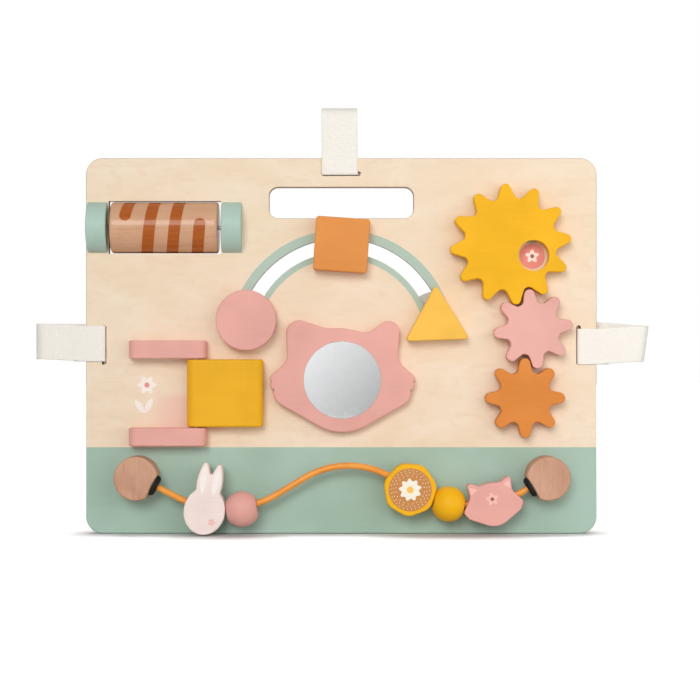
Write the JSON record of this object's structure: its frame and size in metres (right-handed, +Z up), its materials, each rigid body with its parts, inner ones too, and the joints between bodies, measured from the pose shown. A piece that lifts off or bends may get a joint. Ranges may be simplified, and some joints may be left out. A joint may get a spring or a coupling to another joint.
{
  "type": "busy board",
  "caption": "Wooden play board with roller, arched slot with sliding blocks, hinged flap, mirror, meshing gears and bead wire, hung on crib bars by webbing loops.",
  "frame": {"origin": "centre of the board's back face, which faces the crib side", "axes": "+Z up the board, +X to the right of someone facing the play side, +Y out of the back; the play side faces -Y"},
  "size_m": [0.48, 0.0543, 0.334],
  "materials": {
    "birch_board": "clear satin lacquer on birch plywood, lower strip painted mint",
    "birch_turned": "sanded birch",
    "beech": "oiled beech",
    "mint_paint": "satin water-based paint",
    "pink_paint": "satin water-based paint",
    "light_pink_paint": "satin water-based paint",
    "yellow_paint": "satin water-based paint",
    "orange_paint": "satin water-based paint",
    "cream_paint": "satin water-based paint",
    "orange_coating": "smooth coating on steel wire",
    "black_rubber": "matt",
    "acrylic_mirror": "mirror acrylic",
    "steel": "zinc plated",
    "nylon": "natural nylon",
    "webbing": "woven cotton webbing",
    "loop_tape": "brushed loop tape",
    "hook_tape": "moulded hook tape"
  },
  "bodies": {
    "root": {"board": "birch_board", "roller_axle": "steel", "roller_cap_left": "mint_paint", "roller_cap_right": "mint_paint", "roller_cap_screws": "steel", "door_rail_upper": "pink_paint", "door_rail_lower": "pink_paint", "door_hinge_pin": "steel", "rail_screws": "steel", "mirror_frame": "pink_paint", "mirror_disc": "acrylic_mirror", "mirror_frame_screws": "steel", "bead_wire": "orange_coating", "wire_knob_left": "beech", "wire_knob_right": "beech", "wire_grommet_left": "black_rubber", "wire_grommet_right": "black_rubber", "knob_screws": "steel", "strap_top": "webbing", "strap_top_loop_pad": "loop_tape", "strap_top_hook_pad": "hook_tape", "strap_left": "webbing", "strap_left_loop_pad": "loop_tape", "strap_left_hook_pad": "hook_tape", "strap_right": "webbing", "strap_right_loop_pad": "loop_tape", "strap_right_hook_pad": "hook_tape"},
    "roller": {"roller_drum": "beech"},
    "door": {"door_panel": "yellow_paint"},
    "circle_carrier": {"circle_bush": "nylon"},
    "circle_piece": {"circle_block": "pink_paint", "circle_disc": "nylon", "circle_screw": "steel"},
    "square_carrier": {"square_bush": "nylon"},
    "square_piece": {"square_block": "orange_paint", "square_disc": "nylon", "square_screw": "steel"},
    "triangle_carrier": {"triangle_bush": "nylon"},
    "triangle_piece": {"triangle_block": "yellow_paint", "triangle_disc": "nylon", "triangle_screw": "steel"},
    "large_gear_set": {"large_gear": "yellow_paint", "large_gear_hub": "birch_turned", "large_gear_washer": "birch_turned", "large_gear_screw": "steel"},
    "middle_gear_set": {"middle_gear": "light_pink_paint", "middle_gear_hub": "birch_turned", "middle_gear_washer": "birch_turned", "middle_gear_screw": "steel"},
    "last_gear_set": {"last_gear": "orange_paint", "last_gear_hub": "birch_turned", "last_gear_washer": "birch_turned", "last_gear_screw": "steel"},
    "rabbit": {"rabbit_bead": "cream_paint"},
    "pink_ball": {"pink_ball_bead": "pink_paint"},
    "flower": {"flower_bead": "yellow_paint"},
    "yellow_ball": {"yellow_ball_bead": "yellow_paint"},
    "cat": {"cat_bead": "pink_paint"}
  },
  "joints": [
    {"name": "roller_spin", "type": "hinge", "parent": "root", "child": "roller", "pos_m": [-0.1382, -0.005, 0.0926], "axis": [1, 0, 0], "continuous": true},
    {"name": "door_swing", "type": "hinge", "parent": "root", "child": "door", "pos_m": [-0.1132, -0.0175, -0.0369], "axis": [0, 0, -1], "range_deg": [0, 180]},
    {"name": "circle_travel", "type": "hinge", "parent": "root", "child": "circle_carrier", "pos_m": [0, -0.005, 0.0026], "axis": [0, 1, 0], "range_deg": [0, 36]},
    {"name": "circle_turn", "type": "hinge", "parent": "circle_carrier", "child": "circle_piece", "pos_m": [-0.07402, -0.005, 0.01983], "axis": [0, 1, 0], "continuous": true},
    {"name": "square_travel", "type": "hinge", "parent": "root", "child": "square_carrier", "pos_m": [0, -0.005, 0.0026], "axis": [0, 1, 0], "range_deg": [-36, 32]},
    {"name": "square_turn", "type": "hinge", "parent": "square_carrier", "child": "square_piece", "pos_m": [0.00027, -0.005, 0.0786], "axis": [0, 1, 0], "continuous": true},
    {"name": "triangle_travel", "type": "hinge", "parent": "root", "child": "triangle_carrier", "pos_m": [0, -0.005, 0.0026], "axis": [0, 1, 0], "range_deg": [-32, 0]},
    {"name": "triangle_turn", "type": "hinge", "parent": "triangle_carrier", "child": "triangle_piece", "pos_m": [0.07426, -0.005, 0.01879], "axis": [0, 1, 0], "continuous": true},
    {"name": "large_gear_spin", "type": "hinge", "parent": "root", "child": "large_gear_set", "pos_m": [0.1316, -0.005, 0.0789], "axis": [0, 1, 0], "continuous": true},
    {"name": "middle_gear_spin", "type": "hinge", "parent": "root", "child": "middle_gear_set", "pos_m": [0.14909, -0.005, 0.01301], "axis": [0, 1, 0], "continuous": true},
    {"name": "last_gear_spin", "type": "hinge", "parent": "root", "child": "last_gear_set", "pos_m": [0.14273, -0.005, -0.04061], "axis": [0, 1, 0], "continuous": true},
    {"name": "rabbit_travel", "type": "hinge", "parent": "root", "child": "rabbit", "pos_m": [-0.09046, -0.0255, -0.04627], "axis": [0, 1, 0], "range_deg": [0, 11]},
    {"name": "pink_ball_travel", "type": "hinge", "parent": "root", "child": "pink_ball", "pos_m": [-0.09046, -0.0255, -0.04627], "axis": [0, -1, 0], "range_deg": [0, 18]},
    {"name": "flower_travel", "type": "slide", "parent": "root", "child": "flower", "axis": [-0.897, 0, 0.442], "range_m": [0, 0.015]},
    {"name": "yellow_ball_turn", "type": "hinge", "parent": "root", "child": "yellow_ball", "pos_m": [0.08318, -0.0255, -0.12254], "axis": [0.9748, 0, -0.2233], "continuous": true},
    {"name": "cat_travel", "type": "hinge", "parent": "root", "child": "cat", "pos_m": [0.10134, -0.0255, -0.04327], "axis": [0, -1, 0], "range_deg": [0, 3]}
  ],
  "couplings": [
    {"joint": "middle_gear_spin", "follows": "large_gear_spin", "ratio": -1.5},
    {"joint": "last_gear_spin", "follows": "large_gear_spin", "ratio": 1.5}
  ]
}
